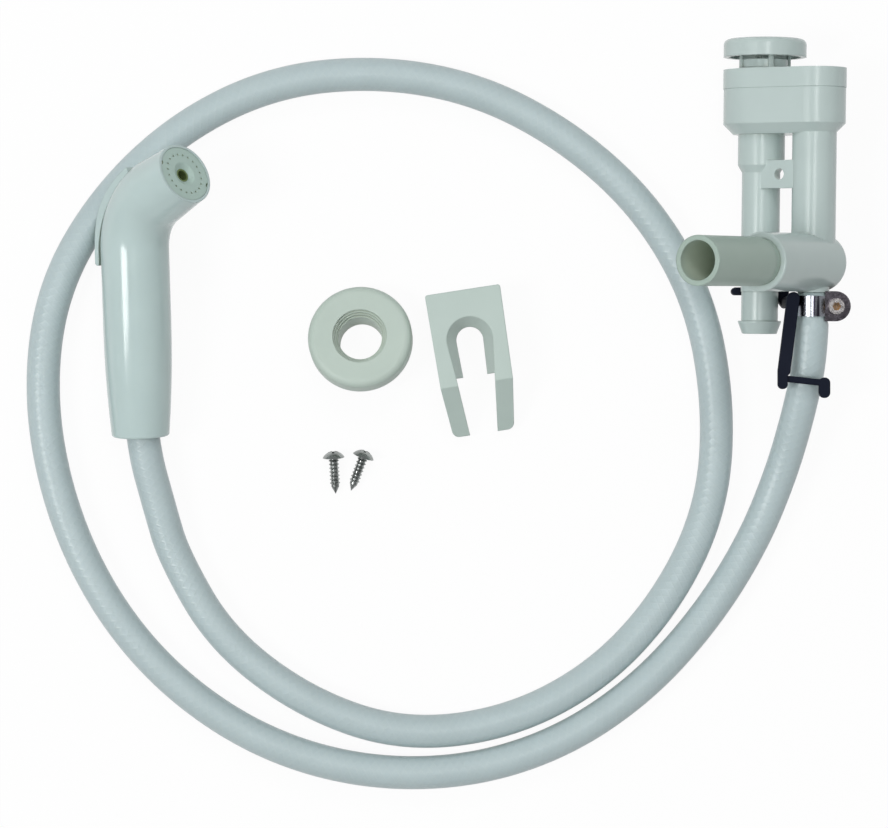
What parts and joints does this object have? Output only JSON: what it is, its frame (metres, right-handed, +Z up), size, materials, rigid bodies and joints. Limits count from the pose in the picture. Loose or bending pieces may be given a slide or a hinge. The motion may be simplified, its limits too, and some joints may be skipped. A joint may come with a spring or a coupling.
{
  "type": "hand spray kit",
  "caption": "Hand spray with a thumb lever on a reinforced hose, with a vacuum breaker, worm clamp, hose hook, deck ring, wall fork and screws.",
  "frame": {"origin": "bottom centre of the rigid pieces, on the surface the kit lies on", "axes": "+X from the hand spray to the vacuum breaker, +Y from the hose tails to the breaker's cap, +Z up from the surface"},
  "size_m": [0.3652, 0.3347, 0.1129],
  "materials": {
    "breaker_plastic": "satin moulded plastic",
    "pipe_plastic": "satin moulded plastic",
    "spray_plastic": "gloss moulded plastic",
    "face_plastic": "gloss moulded plastic",
    "dark_plastic": "matte black plastic",
    "hose_vinyl": "smooth vinyl with a woven reinforcement",
    "seal_rubber": "black rubber",
    "steel": "bright steel",
    "dark_steel": "dark plated steel",
    "brass": "turned brass"
  },
  "bodies": {
    "kit": {"breaker_body": "breaker_plastic", "housing_lid": "breaker_plastic", "lid_gasket": "seal_rubber", "cap_cage": "breaker_plastic", "air_cap": "breaker_plastic", "outlet_pipe": "pipe_plastic", "clamp_band": "steel", "clamp_housing": "steel", "hose_hook": "dark_plastic", "hose": "hose_vinyl", "spray_handle": "spray_plastic", "spray_face": "face_plastic", "jet_insert": "dark_plastic", "face_seal": "seal_rubber", "lever_pin": "steel", "valve_body": "dark_plastic", "valve_spring": "steel", "water_tube": "breaker_plastic", "hose_coupling": "dark_plastic"},
    "float": {"float_valve": "dark_plastic", "float_seal": "seal_rubber"},
    "lever": {"thumb_lever": "spray_plastic"},
    "stem": {"valve_stem": "brass", "valve_seal": "seal_rubber"},
    "worm": {"clamp_screw": "steel"},
    "ring": {"deck_ring": "breaker_plastic"},
    "fork": {"wall_holder": "breaker_plastic"},
    "screw_1": {"mounting_screw_1": "dark_steel"},
    "screw_2": {"mounting_screw_2": "dark_steel"}
  },
  "joints": [
    {"name": "lever_hinge", "type": "hinge", "parent": "kit", "child": "lever", "pos_m": [-0.14848, 0.03205, 0.02709], "axis": [-0.6621, -0.1105, 0.7412], "range_deg": [0, 5], "stiffness_Nm_per_rad": 0.5, "springref_deg": -5.73},
    {"name": "stem_slide", "type": "slide", "parent": "kit", "child": "stem", "axis": [0.7492, -0.0747, 0.6581], "range_m": [0, 0.00264], "deforming": ["valve_spring"]},
    {"name": "float_slide", "type": "slide", "parent": "kit", "child": "float", "axis": [0.007, 0.999, 0.0436], "range_m": [0, 0.0056]},
    {"name": "worm_turn", "type": "hinge", "parent": "kit", "child": "worm", "pos_m": [0.16017, -0.01855, 0.02986], "axis": [-0.0003, 0.0436, -0.999], "continuous": true},
    {"name": "deck_ring_lift", "type": "slide", "parent": "kit", "child": "ring", "axis": [0, 0, 1], "range_m": [0, 0.06]},
    {"name": "wall_holder_lift", "type": "slide", "parent": "kit", "child": "fork", "axis": [0, 0, 1], "range_m": [0, 0.06]},
    {"name": "screw_1_lift", "type": "slide", "parent": "kit", "child": "screw_1", "axis": [0, 0, 1], "range_m": [0, 0.06]},
    {"name": "screw_2_lift", "type": "slide", "parent": "kit", "child": "screw_2", "axis": [0, 0, 1], "range_m": [0, 0.06]}
  ],
  "couplings": [
    {"joint": "stem_slide", "follows": "lever_hinge", "m_per_rad": 0.02963}
  ]
}
